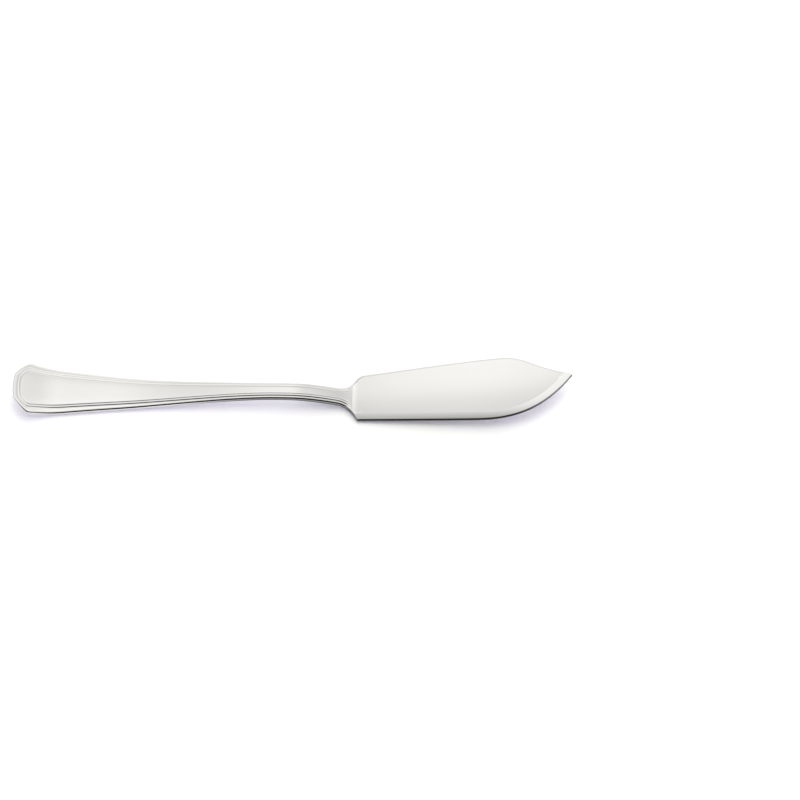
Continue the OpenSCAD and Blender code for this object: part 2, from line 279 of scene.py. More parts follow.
def all_sizes(scene):
    """Every size of the knife under its own name, with the places along it that follow from them."""
    s = SimpleNamespace()
    for group, kind in SIZE_GROUPS.items():
        for name in kind.__annotations__:
            setattr(s, name, getattr(getattr(scene, group), name))
    s.neck_start = s.handle_length - s.neck_length
    s.shoulder_start = s.handle_length - s.shoulder_back
    s.arch_top = s.handle_length - s.arch_back
    s.arch_end = s.handle_length - s.arch_foot
    s.seat_end = s.end_turn + s.seat_length
    s.total_length = s.handle_length + s.blade_length
    s.hump_x = s.total_length - s.hump_back
    s.hump_cross = s.hump_rise - s.hump_round * HUMP_SLOPE * FALL_SLOPE / (HUMP_SLOPE - FALL_SLOPE) ** 2
    s.belly_start = s.total_length - s.belly_length
    s.point_x = s.total_length - s.point_radius
    s.belly_end = s.point_x + s.point_radius * math.sin(s.belly_angle)
    s.fall_end = s.point_x - s.point_radius * math.sin(math.atan(POINT_SLOPE))
    arc_rise = s.shoulder_radius * (1 - math.cos(s.shoulder_angle))
    s.heel_x = s.shoulder_start + s.shoulder_radius * math.sin(s.shoulder_angle)
    s.heel_x += (s.edge_drop - s.neck_width / 2 - arc_rise) / math.tan(s.shoulder_angle)
    s.heel_end = s.heel_x + s.back_round
    return s


def clamp(value):
    """A number, an array or a wire, held between 0 and 1."""
    return value.held() if isinstance(value, Wire) else np.clip(value, 0, 1)


def ease(value):
    """The same, with a soft start and a soft end."""
    t = clamp(value)
    return t * t * (3 - 2 * t)


def mix(a, b, share):
    """Some share of the way from a to b."""
    return a + (b - a) * share


def curve(x, start, height, slope, end, end_height, end_slope):
    """A smooth curve between two places, with its height and slope given at both."""
    t = clamp((x - start) / (end - start))
    rest = 1 - t
    blend = height * (1 + 2 * t) * rest * rest + end_height * t * t * (3 - 2 * t)
    return blend + (end - start) * t * rest * (slope * rest - end_slope * t)


class Wire:
    """One socket in a node tree. Python's operators on it add the Math nodes for them."""

    def __init__(self, tree, socket):
        self.tree = tree
        self.socket = socket

    def math(self, operation, *values):
        node = add(self.tree, "ShaderNodeMath", {"operation": operation}, dict(enumerate(values)))
        return Wire(self.tree, node.outputs[0])

    def __add__(self, other):
        return self.math("ADD", self, other)

    __radd__ = __add__

    def __sub__(self, other):
        return self.math("SUBTRACT", self, other)

    def __rsub__(self, other):
        return self.math("SUBTRACT", other, self)

    def __mul__(self, other):
        return self.math("MULTIPLY", self, other)

    __rmul__ = __mul__

    def __truediv__(self, other):
        return self.math("DIVIDE", self, other)

    def __rtruediv__(self, other):
        return self.math("DIVIDE", other, self)

    def __pow__(self, other):
        return self.math("POWER", self, other)

    def __lt__(self, other):
        return self.math("LESS_THAN", self, other)

    def __gt__(self, other):
        return self.math("GREATER_THAN", self, other)

    def least(self, other):
        return self.math("MINIMUM", self, other)

    def most(self, other):
        return self.math("MAXIMUM", self, other)

    def root(self):
        return self.math("SQRT", self)

    def size(self):
        return self.math("ABSOLUTE", self)

    def held(self):
        return self.most(0).least(1)


def add(tree, kind, settings=None, sockets=None):
    """A node of that kind, with its settings made first and then its sockets given values or links."""
    node = tree.nodes.new(kind)
    for name, value in (settings or {}).items():
        if name == "stops":
            while len(node.color_ramp.elements) < len(value):
                node.color_ramp.elements.new(1)
            for element, (position, shade) in zip(node.color_ramp.elements, value):
                element.position = position
                element.color = (*shade, 1)
        else:
            setattr(node, name, value)
    for key, value in (sockets or {}).items():
        if isinstance(value, Wire):
            tree.links.new(value.socket, node.inputs[key])
        else:
            node.inputs[key].default_value = value
    count = len(tree.nodes)
    node.location = (count // 12 * 220, count % 12 * -180)
    return node


def wire(tree, node, output=0):
    """One output of a node."""
    return Wire(tree, node.outputs[output])


def blend_colours(tree, share, a, b):
    """A colour some share of the way from a to b, each of them a wire or red, green and blue."""
    a, b = (side if isinstance(side, Wire) else (*side, 1) for side in (a, b))
    node = add(tree, "ShaderNodeMix", {"data_type": "RGBA"}, {0: share, "A": a, "B": b})
    return wire(tree, node, "Result")


def coordinates(tree, kind):
    """One kind of texture coordinates, and its three parts."""
    whole = wire(tree, add(tree, "ShaderNodeTexCoord"), kind)
    parts = add(tree, "ShaderNodeSeparateXYZ", {}, {0: whole})
    return whole, [wire(tree, parts, axis) for axis in "XYZ"]


def empty_tree(owner):
    """The node tree of a new material or world, with no nodes in it."""
    owner.use_nodes = True
    owner.node_tree.nodes.clear()
    return owner.node_tree


def put(scene, name, data):
    """A new object in the scene."""
    thing = bpy.data.objects.new(name, data)
    scene.collection.objects.link(thing)
    return thing


class Plan:
    """The blank seen from above. Places run along the knife from the end of the handle, and widths are
    measured from the handle's axis."""

    def __init__(self, sizes):
        self.s = sizes

    def taper(self, x):
        """Half the width of the handle, which narrows in a hollow curve to the neck."""
        s = self.s
        along = clamp((x - s.corner_length) / (s.neck_start - s.corner_length))
        return mix(s.neck_width, s.end_width, (1 - along) ** s.taper_power) / 2

    def shoulder(self, x):
        """A shoulder, which leaves the neck in a hollow arc and goes straight on."""
        s = self.s
        u = np.maximum(0, x - s.shoulder_start)
        reach = s.shoulder_radius * math.sin(s.shoulder_angle)
        hollow = s.shoulder_radius - np.sqrt(np.maximum(0, s.shoulder_radius**2 - np.minimum(u, reach) ** 2))
        return s.neck_width / 2 + hollow + np.maximum(0, u - reach) * math.tan(s.shoulder_angle)

    def handle_side(self, x):
        """Half the width of the handle, with its cut corners."""
        s = self.s
        slope = (s.end_width - s.end_flat) / 2 / (s.corner_length - s.end_bow)
        corner = s.end_flat / 2 + (x - s.end_bow) * slope
        return np.where(x < s.corner_length, corner, self.taper(x))

    def back_rise(self, x):
        """The back from the heel to the hump, and straight on past it."""
        s = self.s
        start = s.heel_rise - BACK_SLOPE * (s.heel_x - s.handle_length)
        rise = curve(x, s.handle_length, start, BACK_SLOPE, s.hump_x, s.hump_cross, HUMP_SLOPE)
        return rise + HUMP_SLOPE * np.maximum(0, x - s.hump_x)

    def back_fall(self, x):
        """The back from the hump to the point, and straight on before the hump."""
        s = self.s
        end_height = s.point_rise + s.point_radius * math.cos(math.atan(POINT_SLOPE))
        fall = curve(x, s.hump_x, s.hump_cross, FALL_SLOPE, s.fall_end, end_height, POINT_SLOPE)
        return fall + FALL_SLOPE * np.minimum(0, x - s.hump_x)

    def belly(self, x):
        """The curved belly, from the straight edge to the point."""
        s = self.s
        end_height = s.point_rise - s.point_radius * math.cos(s.belly_angle)
        return curve(x, s.belly_start, -s.edge_drop, 0, s.belly_end, end_height, math.tan(s.belly_angle))

    def point_arc(self, x):
        """Half the height of the point's own arc."""
        s = self.s
        return np.sqrt(np.maximum(0, s.point_radius**2 - (x - s.point_x) ** 2))

    def far_side(self, x):
        """The whole outline on the side of the back."""
        s = self.s
        back = round_min(self.shoulder(x), self.back_rise(x), s.back_round)
        back = round_min(back, self.back_fall(x), s.hump_round)
        side = np.where(x < s.fall_end, back, s.point_rise + self.point_arc(x))
        return np.where(x < s.shoulder_start, self.handle_side(x), side)

    def near_side(self, x):
        """The whole outline on the side of the edge."""
        s = self.s
        edge = -round_min(self.shoulder(x), s.edge_drop, s.heel_round)
        side = np.where(x < s.belly_end, np.where(x < s.belly_start, edge, self.belly(x)),
                        s.point_rise - self.point_arc(x))
        return np.where(x < s.shoulder_start, -self.handle_side(x), side)

    def middle(self):
        """Height half way between the lowest and the highest place of the outline."""
        s = self.s
        x = np.linspace(s.corner_length, s.total_length, OUTLINE_PLACES)
        return (min(-s.end_width / 2, self.near_side(x).min()) + self.far_side(x).max()) / 2

    def inset(self, x, distance, far):
        """Where a line that keeps a distance from a side crosses a place: a disc rolled along the side."""
        places = np.minimum(self.s.total_length, x[..., None] + distance[..., None] * np.sin(DISC_ANGLES))
        reach = distance[..., None] * np.cos(DISC_ANGLES)
        if far:
            return (self.far_side(places) - reach).min(-1)
        return (self.near_side(places) + reach).max(-1)

    def rim_line(self, x, far):
        """The back, or the line of the edge, which is taken to run on straight past the heel."""
        if far:
            return self.far_side(x)
        return np.where(x < self.s.belly_start, -self.s.edge_drop, self.near_side(x))

    def depth(self, points, far):
        """How far points of the blade lie in from that line, up to somewhat more than the bevel."""
        places = np.minimum(self.s.total_length, points[:, :1] + NEARBY * self.s.bevel_width)
        return np.hypot(places - points[:, :1], self.rim_line(places, far) - points[:, 1:]).min(-1)

    def rim(self, x):
        """Width of the rim, which follows the width of the handle."""
        s = self.s
        share = clamp((self.taper(x) * 2 - s.neck_width) / (s.end_width - s.neck_width))
        return mix(s.rim_neck, s.rim_side, share)


def round_min(a, b, rounding):
    """The lower of two heights, with the corner where they cross rounded off."""
    near = np.maximum(0, rounding - np.abs(a - b))
    return np.minimum(a, b) - near * near / (4 * rounding)


def steps(start, end, count):
    """Evenly spaced places up to an end, without the start."""
    return np.linspace(start, end, count + 1)[1:]


def edge_columns(s):
    """Distances in from the side at which the blank has a column over its rounded edge."""
    return s.edge_round * (1 - np.cos(np.linspace(0, math.pi / 2, ROUND_COLUMNS)))


def border_columns(s, rim):
    """The same from the side to the inner end of the border."""
    rim = np.asarray(rim, float)[..., None]
    across_rim = s.edge_round + (rim - s.edge_round) * steps(0, 1, RIM_COLUMNS)
    groove = steps(0, s.groove_width, GROOVE_COLUMNS)
    bead = s.groove_width + steps(0, s.bead_width, BEAD_COLUMNS)
    threads = np.concatenate([groove, bead, s.groove_width + s.bead_width + groove])
    return np.concatenate([edge_columns(s) + 0 * rim, across_rim, rim + threads], -1)


def columns(plan, x, far):
    """The same for any place along the knife. Over the blade as many columns spread over its bevel, or
    over the margin along its back, and crowd where that meets the face."""
    s = plan.s
    border = border_columns(s, plan.rim(x))
    edge = edge_columns(s)
    width = s.margin_width if far else s.bevel_width
    crease = np.array(CREASE_COLUMNS) * width
    count = border.shape[-1] - len(edge) - len(crease)
    blade = np.concatenate([edge, np.linspace(s.edge_round, width, count + 2)[1:-1], crease])
    share = ease((x - s.handle_length + s.border_gap) / COLUMN_FADE)
    return mix(border, blade, np.asarray(share)[..., None])


def unit(v):
    """The same direction, with a length of 1."""
    return np.array(v) / np.linalg.norm(v)


def mitre(corner, in_a, a, in_b, b):
    """Where two sides that meet at a corner still meet, once each has moved in by its own distances."""
    c = in_a @ in_b
    a, b = a[:, None], b[:, None]
    return np.array(corner) + in_a * (a - c * b) / (1 - c * c) + in_b * (b - c * a) / (1 - c * c)


def soften(corner, along_a, along_b, radius, t):
    """A point of the curve that rounds a corner off."""
    cut = (radius * math.tan(math.acos(along_a @ along_b) / 2))[:, None]
    start = corner - along_a * cut
    finish = corner + along_b * cut
    return mix(mix(start, corner, t), mix(corner, finish, t), t)


def end_rows(plan):
    """Rows of columns round the end of the handle, from its middle to where the sides run on.
    Gives points, distances in and rim widths of each row's far half."""
    s = plan.s
    at_end = border_columns(s, s.rim_end)
    at_side = border_columns(s, s.rim_side)
    end_along = np.array([0.0, 1.0])
    cut_along = unit([s.corner_length - s.end_bow, (s.end_width - s.end_flat) / 2])
    side_along = unit([s.corner_length, plan.taper(2 * s.corner_length) - s.end_width / 2])
    quarter_turn = np.array([[0, -1], [1, 0]])
    end_in, cut_in, side_in = (along @ quarter_turn for along in (end_along, cut_along, side_along))
    first = mitre([s.end_bow, s.end_flat / 2], end_in, at_end, cut_in, at_end)
    second = mitre([s.corner_length, s.end_width / 2], cut_in, at_end, side_in, at_side)
    radius = np.maximum(LEAST_RADIUS, s.corner_radius - at_end)
    middle = np.stack([at_end, 0 * at_end], -1)
    rows = []

    def bowed(points):
        """Points of the cut corner, moved out by its bow."""
        along = clamp(((points - first) @ cut_along) / ((second - first) @ cut_along))
        return points - cut_in * (s.corner_bow * 4 * along * (1 - along))[:, None]

    start = soften(first, end_along, cut_along, radius, 0)
    for t in np.linspace(0, 1, ANGLE_ROWS)[:-1]:
        points = mix(middle, start, t) - np.array([s.end_bow * (t - t * t), 0])
        rows.append((points, at_end, s.rim_end))
    for t in np.linspace(0, 1, ANGLE_ROWS):
        rows.append((bowed(soften(first, end_along, cut_along, radius, t)), at_end, s.rim_end))
    cut_start = soften(first, end_along, cut_along, radius, 1)
    cut_end = soften(second, cut_along, side_along, radius, 0)
    for t in np.linspace(0, 1, CUT_ROWS)[1:-1]:
        rows.append((bowed(mix(cut_start, cut_end, t)), at_end, s.rim_end))
    for t in np.linspace(0, 1, ANGLE_ROWS):
        points = bowed(soften(second, cut_along, side_along, radius, t))
        rows.append((points, mix(at_end, at_side, t), mix(s.rim_end, s.rim_side, t)))
    last = rows[-1][0]
    run_in = last[-1, 0] + RUN_IN
    for t in np.linspace(0, 1, ANGLE_ROWS)[1:]:
        x = mix(last[:, 0], run_in, t)
        reach = np.diagonal(columns(plan, x, True))
        rows.append((np.stack([x, plan.taper(x) - reach], -1), reach, plan.rim(x)))
    return rows


def side_places(s, start):
    """Places along the knife at which the blank has a row, close together where its shape turns."""
    stops = [
        (s.seat_end, 46), (s.shoulder_start - BEFORE_SHOULDER, 66), (s.handle_length - BESIDE_CREASE, 44),
        (s.handle_length, 4), (s.handle_length + BESIDE_CREASE, 4), (s.handle_length + s.fillet_length, 8),
        (s.heel_end, 40), (s.hump_x - s.hump_round, 48), (s.hump_x + s.hump_round, 24),
        (s.fall_end, 76),
    ]
    places = []
    for end, count in stops:
        places.extend(steps(start, end, count))
        start = end
    arc = np.radians(np.linspace(*POINT_ROWS))
    return np.array(places + list(s.point_x + s.point_radius * np.sin(arc)))


def cut_blank(plan):
    """The flat blank as a closed skin with no thickness yet, from rows of points laid across it."""
    s = plan.s
    shares = np.arange(1, PANEL_COLUMNS + 1) / (PANEL_COLUMNS + 1)
    rows = []

    def lay(near, far, reach_near, reach_far, rim, middle, half):
        """One row, from the points and the distances in of its two halves."""
        points = np.concatenate([near, mix(near[-1], far[-1], shares[:, None]), far[::-1]])
        inset = np.concatenate([reach_near, mix(reach_near[-1], reach_far[-1], shares), reach_far[::-1]])
        rim = np.broadcast_to(rim, reach_near.shape)
        rims = np.concatenate([rim, np.full(PANEL_COLUMNS, rim[-1]), rim[::-1]])
        offset = points[:, 1] - middle
        across = clamp(np.abs(offset) / half)
        edge, back = plan.depth(points, False), plan.depth(points, True)
        rows.append([*points.T, inset, rims, offset, across, edge, back])

    for points, reach, rim in end_rows(plan):
        lay(points * [1, -1], points, reach, reach, rim, 0, s.end_width / 2)
    for x in side_places(s, rows[-1][0][-1]):
        reach_near, reach_far = columns(plan, x, False), columns(plan, x, True)
        place = np.full(reach_near.shape, x)
        low, high = plan.near_side(x), plan.far_side(x)
        near = plan.inset(place, reach_near, False) - low
        far = high - plan.inset(place, reach_far, True)
        fit = min(1, MARGIN_LIMIT * (high - low) / (near.max() + far.max()))
        lay(np.stack([place, low + near * fit], -1), np.stack([place, high - far * fit], -1),
            reach_near * fit, reach_far * fit, plan.rim(x), (high + low) / 2, (high - low) / 2)

    # The plain underside has every column of the rounded edge and fewer of the others
    upper = np.array(rows)
    count = upper.shape[2]
    ring = (count - PANEL_COLUMNS) // 2
    spare = [*range(ROUND_COLUMNS), *range(ROUND_COLUMNS + 2, ring, 4)]
    kept = [*spare, *range(ring, ring + PANEL_COLUMNS, 2), *(count - 1 - k for k in reversed(spare))]
    face = np.concatenate([np.ones(count), -np.ones(len(kept))])
    grid = np.concatenate([upper, upper[:, :, kept[::-1]]], 2).transpose(0, 2, 1)
    grid = np.concatenate([grid, np.broadcast_to(face[:, None], (len(grid), len(face), 1))], 2)
    tip = np.array([s.total_length, s.point_rise, 0, s.rim_neck, 0, 0, 0, 0, 0])
    values = np.concatenate([grid.reshape(-1, len(tip)), tip[None]])

    across = len(face)
    row = np.arange(len(grid) - 1)[:, None] * across
    a, b = row + np.arange(across), row + (np.arange(across) + 1) % across
    quads = np.stack([a, a + across, b + across, b], -1).reshape(-1, 4)
    last = (len(grid) - 1) * across
    fan = [(last + (j + 1) % across, last + j, len(values) - 1) for j in range(across)]

    x, y, *held = values.T
    points = np.stack([x - s.total_length / 2, y - plan.middle(), 0 * x], -1)
    mesh = bpy.data.meshes.new("blank")
    mesh.from_pydata(points.tolist(), [], quads.tolist() + fan)
    for name, column in zip(KEPT, [x, *held]):
        layer = mesh.attributes.new(name, "FLOAT", "POINT")
        layer.data.foreach_set("value", column.astype(np.float32))
    return mesh


def strike_tree(metal):
    """Geometry nodes that strike the blank: they give it its thickness, threads and bevels, and bend it."""
    tree = bpy.data.node_groups.new("Strike and bend", "GeometryNodeTree")
    tree.interface.new_socket("Blank", in_out="INPUT", socket_type="NodeSocketGeometry")
    for name in STRIKE_SIZES:
        socket = tree.interface.new_socket(
            name.replace("_", " ").capitalize(), in_out="INPUT", socket_type="NodeSocketFloat")
        socket.subtype = "NONE" if name in ("crown_power", "groove_uneven") else "DISTANCE"
    tree.interface.new_socket("Knife", in_out="OUTPUT", socket_type="NodeSocketGeometry")
    entry = add(tree, "NodeGroupInput")
    s = SimpleNamespace(**{name: wire(tree, entry, i + 1) for i, name in enumerate(STRIKE_SIZES)})

    def kept(name):
        """A value that the blank keeps at its points."""
        node = add(tree, "GeometryNodeInputNamedAttribute", {"data_type": "FLOAT"}, {"Name": name})
        return wire(tree, node, "Attribute")

    def marked(geometry, name, value):
        """The geometry with a value kept at its points for the metal's material."""
        node = add(tree, "GeometryNodeStoreNamedAttribute", {"data_type": "FLOAT", "domain": "POINT"}, {
            "Geometry": geometry, "Name": name, "Value": value})
        return wire(tree, node)

    x, inset, rim, offset, across, edge, back, face = (kept(name) for name in KEPT)

    under, over = side_view(s, x)
    thick = (over - under) / 2
    past_corner = ease(DEEPER_RATE * x / s.corner_length - DEEPER_RATE * DEEPER_START)
    near_threads = clamp(0.5 - offset / s.neck_width) * past_corner
    uneven = 1 - s.groove_uneven * (1 - 2 * near_threads)
    threads, sunk = border_profile(s, inset, rim, uneven)
    on_border = 1 - ease((x - s.handle_length + s.border_gap + FADE_LENGTH) / FADE_LENGTH)
    on_upper = face.most(0)
    crown = (1 - across**s.crown_power) * (1 - (1 - clamp(x / (s.end_width / 2))) ** 2)
    handle = mix(s.rim_thickness / 2, thick, crown) + threads * on_border * on_upper
    blade = thick - bevel(s, x, edge, back) * on_upper
    on_blade = ease((x - s.handle_length + 2 * FADE_LENGTH) / (2 * FADE_LENGTH))
    # How strongly the narrow sides of the handle and the neck are painted with shade
    handle_side_shade = mix(HANDLE_SIDE_SHADE, NECK_SIDE_SHADE, ease((x / s.arch_top - SIDE_SHADE_START) * SIDE_SHADE_RATE))
    corner = 1 - clamp(inset / s.edge_round)
    half = mix(handle, blade, on_blade) - s.edge_round * (1 - (1 - corner * corner).root())
    across_blade = offset / s.edge_drop
    centre = (over + under) / 2 + s.dish * across_blade * across_blade * on_blade - s.seat_flat
    height = (centre + face * half).most(0)

    place = add(tree, "ShaderNodeSeparateXYZ", {}, {0: wire(tree, add(tree, "GeometryNodeInputPosition"))})
    raised = add(tree, "ShaderNodeCombineXYZ", {}, {
        "X": wire(tree, place, "X"), "Y": wire(tree, place, "Y"), "Z": height})
    struck = add(tree, "GeometryNodeSetPosition", {}, {
        "Geometry": wire(tree, entry, "Blank"), "Position": wire(tree, raised)})
    closed = add(tree, "GeometryNodeMergeByDistance", {}, {
        "Geometry": wire(tree, struck), "Distance": MERGE_DISTANCE})
    grooved = marked(wire(tree, closed), "sunk", sunk * on_border * on_upper)
    # Painted shade on the narrow sides, kept as the mark "cut": the dark they reflect, stronger at the neck
    # than round the handle, and on the blade along the edge side only
    side_shade_mask = mix(handle_side_shade, clamp(0.5 - offset / s.edge_round), on_blade)
    smooth = add(tree, "GeometryNodeSetShadeSmooth", {}, {"Geometry": marked(grooved, "cut", corner * side_shade_mask)})
    real = add(tree, "GeometryNodeRealizeInstances", {}, {"Geometry": wire(tree, smooth)})
    dressed = add(tree, "GeometryNodeSetMaterial", {}, {"Geometry": wire(tree, real), "Material": metal})
    add(tree, "NodeGroupOutput", {}, {"Knife": wire(tree, dressed)})
    return tree


def side_view(s, x):
    """Heights of the lower and the upper face along the knife's middle."""
    past = (x - s.handle_length).most(0)
    turn = curve(x, 0, s.end_lift, TURN_SLOPE, s.end_turn, 0, 0)
    rise = curve(x, s.seat_end, 0, 0, s.arch_top, s.arch_height, 0)
    fall = curve(x, s.arch_top, 0, 0, s.arch_end, 0 - s.arch_height, LOWER_SLOPE)
    out = past / s.blade_length
    under = turn + rise + fall + s.point_lift * mix(out, out**LIFT_POWER, LIFT_CURL)
    back = mix(s.end_thickness, s.neck_thickness, ease(x / s.arch_top))
    fillet = s.fillet_height * (1 - clamp(past / s.fillet_length)) ** 2
    blade = mix(s.blade_thickness, s.edge_thickness, POINT_THINNING * clamp(out)) + fillet
    front = curve(x, s.arch_top, s.arch_height + s.neck_thickness, 0,
                  s.handle_length, s.blade_thickness + s.fillet_height, UPPER_SLOPE)
    on_neck = (x > s.arch_top) * (x < s.handle_length)
    on_back = 1 - (x > s.arch_top)
    on_blade = 1 - (x < s.handle_length)
    over = on_back * (under + back) + on_neck * front + on_blade * (under + blade)
    return under, over


def border_profile(s, inset, rim, uneven):
    """Height of the rim, the grooves and the bead above the face, and how deep in a groove a point is."""
    first = clamp((inset - rim) / s.groove_width)
    bead = clamp((inset - rim - s.groove_width) / s.bead_width)
    second = clamp((inset - rim - s.groove_width - s.bead_width) / s.groove_width)
    on_rim = clamp(inset / rim)
    raised = on_rim * (1 - on_rim) + bead * (1 - bead)
    sunk = (first * (1 - first) + second * (1 - second)) * 4 * uneven
    return raised * 4 * s.bead_height - sunk * s.groove_depth, sunk


def bevel(s, x, edge, back):
    """How far the blade's upper face is cut down: a bevel along the straight edge, deepest where the
    belly begins and shallower along it, and a rounded margin along the back."""
    shallow = s.blade_thickness - s.edge_thickness
    steeper = clamp((x - s.handle_length) / (s.belly_start - s.handle_length))
    steep = s.bevel_depth * mix(HEEL_BEVEL, 1, steeper)
    depth = mix(steep, shallow, ease((x - s.belly_start) / s.belly_length))
    near = 1 - clamp(edge / s.bevel_width)
    far = 1 - clamp(back / s.margin_width)
    return (depth * mix(near, near * near, BEVEL_HOLLOW)).most(MARGIN_DEPTH * shallow * far * far)


# Patterns in the metal: scale, stretch along the knife and detail
CLOUDS = (30, 1, 3)
WIPES = (900, 0.08, 4)
GRAINS = (5200, 0.3, 2)
PATTERN_ROUGHNESS = 0.6
# Share of the grains in the bump, beside the wipe marks
GRAIN_SHARE = 0.5
# Painted shade, a darker band on the slope of the neck, measured from the knife's middle: its place, reach
# and strength
NECK_SHADE = (0.0105, 0.0115, 1.8)
# Painted shade on the blade at the heel: where it sets in and over what length, and its place, reach and
# strength
HEEL_SHADE_ONSET = (0.0218, 0.002)
HEEL_SHADE = (0.0228, 0.042, 0.7)
# Level from which the clouds show as haze, and how strongly
CLOUD_START = 0.45
CLOUD_HAZE = 0.3
# Colour of the haze and the painted shade as a share of the polish, and share of the painted shade at the
# bottom of a groove
HAZE_AND_SHADE_LEVEL = 0.84
GROOVE_SHADE_SHARE = 0.9
# Roughness added by the clouds and in the grooves
CLOUD_ROUGHNESS = 0.04
GROOVE_ROUGHNESS = 0.1


def polished_metal(looks):
    """Polished white metal, with a faint haze and wipe marks, and painted shade: a darker band on the neck,
    a darker heel, darker grooves and darker narrow sides.
    """
    material = bpy.data.materials.new("polished_metal")
    tree = empty_tree(material)
    coords, (along, _, _) = coordinates(tree, "Object")

    def pattern(scale, stretch, detail):
        """Noise, drawn out along the knife."""
        spread = add(tree, "ShaderNodeMapping", {}, {"Vector": coords, "Scale": (stretch, 1, 1)})
        node = add(tree, "ShaderNodeTexNoise", {}, {
            "Vector": wire(tree, spread), "Scale": scale, "Detail": detail, "Roughness": PATTERN_ROUGHNESS})
        return wire(tree, node, "Fac")

    def mark(name):
        """A value that the strike kept at the points."""
        return wire(tree, add(tree, "ShaderNodeAttribute", {"attribute_name": name}), "Fac")

    cloud, wipes, grains = pattern(*CLOUDS), pattern(*WIPES), pattern(*GRAINS)
    # The mark "cut" is where the narrow sides are painted with shade
    sunk, cut = mark("sunk"), ease(mark("cut"))
    # Painted shade: a darker band on the slope of the neck and a darker patch on the blade at its heel; the
    # clouds add a faint haze at random
    onset, onset_length = HEEL_SHADE_ONSET
    place, reach, strength = HEEL_SHADE
    heel = strength * (1 - clamp((along - place) / reach)) ** 2 * ease((along - onset) / onset_length)
    place, reach, strength = NECK_SHADE
    shade_and_haze = ease(strength - strength * (along - place).size() / reach) + heel
    haze_and_shade_colour = [level * HAZE_AND_SHADE_LEVEL for level in looks.polish_colour]
    polish = blend_colours(
        tree, clamp((cloud - CLOUD_START) * CLOUD_HAZE + shade_and_haze), looks.polish_colour, haze_and_shade_colour)
    # Painted shade down in the grooves
    grooved = blend_colours(tree, clamp(sunk * GROOVE_SHADE_SHARE), polish, looks.groove_shade_colour)
    rough = looks.polish_roughness + looks.wipe_roughness * wipes
    bump = add(tree, "ShaderNodeBump", {}, {
        "Strength": 0.02, "Distance": 0.00001, "Height": wipes + grains * GRAIN_SHARE})
    shader = add(tree, "ShaderNodeBsdfPrincipled", {}, {
        "Base Color": blend_colours(tree, cut, grooved, looks.side_shade_colour), "Metallic": 1,
        "Roughness": rough + CLOUD_ROUGHNESS * cloud + GROOVE_ROUGHNESS * sunk,
        "Normal": wire(tree, bump)})
    add(tree, "ShaderNodeOutputMaterial", {}, {"Surface": wire(tree, shader)})
    return material


class FISHKNIFE_OT_make_knife(Operator):
    """Cut the blank, strike its border and bevels, and bend it"""

    bl_idname = "fishknife.make_knife"
    bl_label = "Make Knife"
    bl_options = {"REGISTER", "UNDO"}

    def execute(self, context):
        scene = context.scene
        sizes = all_sizes(scene)
        blank = put(scene, "blank", cut_blank(Plan(sizes)))
        metal = polished_metal(scene.knife_metal)
        strike = blank.modifiers.new("Strike and bend", "NODES")
        strike.node_group = strike_tree(metal)
        inputs = [i for i in strike.node_group.interface.items_tree if i.in_out == "INPUT"][1:]
        for name, item in zip(STRIKE_SIZES, inputs):
            strike[item.identifier] = getattr(sizes, name)
        evaluated = blank.evaluated_get(context.evaluated_depsgraph_get())
        mesh = bpy.data.meshes.new_from_object(evaluated)
        mesh.name = "fish_knife_struck"
        bpy.data.objects.remove(blank)
        knife = put(scene, "fish_knife_struck", mesh)
        open_edges = loose_edges(mesh)
        if open_edges:
            raise RuntimeError(f"the knife's skin has {open_edges} open edges")
        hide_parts("fish_knife")
        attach(knife, "root")
        return {"FINISHED"}


def loose_edges(mesh):
    """How many edges of a mesh aren't shared by exactly two faces."""
    edges = np.empty(len(mesh.loops), np.int32)
    mesh.loops.foreach_get("edge_index", edges)
    return int((np.bincount(edges, minlength=len(mesh.edges)) != 2).sum())


class FISHKNIFE_OT_set_studio(Operator):
    """Lay the table, hang the lamp and stand the camera"""

    bl_idname = "fishknife.set_studio"
    bl_label = "Set Studio"
    bl_options = {"REGISTER", "UNDO"}

    def execute(self, context):
        scene = context.scene
        looks = scene.knife_studio
        scene.view_settings.view_transform = "Standard"
        lay_floor(scene, looks)
        light_sky(scene, looks)
        hang_lamp(scene, looks)
        stand_camera(scene, looks)
        return {"FINISHED"}


# How far the table reaches to each side
TABLE_REACH = 3
# Where the light added to the table grows towards the ends of the knife: its place, reach and rise
LIFT_RISE = (0.045, 0.06, 1.3)


def seen_rays(tree):
    """1 for the rays of the camera, and for those that reach it by a mirror or through glass."""
    path = add(tree, "ShaderNodeLightPath")
    return clamp(sum((wire(tree, path, f"Is {kind} Ray") for kind in ("Glossy", "Transmission")),
                     wire(tree, path, "Is Camera Ray")))


def lay_floor(scene, looks):
    """A white table. What is seen of it is lifted a little, and it keeps its shadows."""
    mesh = bpy.data.meshes.new("floor")
    corners = [(x * TABLE_REACH, y * TABLE_REACH, 0) for x, y in ((-1, -1), (1, -1), (1, 1), (-1, 1))]
    mesh.from_pydata(corners, [], [(0, 1, 2, 3)])
    floor = put(scene, "floor", mesh)
    material = bpy.data.materials.new("white_table")
    tree = empty_tree(material)
    white = add(tree, "ShaderNodeBsdfDiffuse", {}, {"Color": (*looks.floor_colour, 1)})
    along = coordinates(tree, "Object")[1][0]
    middle, reach, rise = LIFT_RISE
    aside = ease((along - middle).size() / reach)
    lift = add(tree, "ShaderNodeEmission", {}, {
        "Color": (*looks.lift_colour, 1),
        "Strength": seen_rays(tree) * looks.floor_lift * (1 + rise * aside)})
    both = add(tree, "ShaderNodeAddShader", {}, {0: wire(tree, white), 1: wire(tree, lift)})
    add(tree, "ShaderNodeOutputMaterial", {}, {"Surface": wire(tree, both)})
    mesh.materials.append(material)


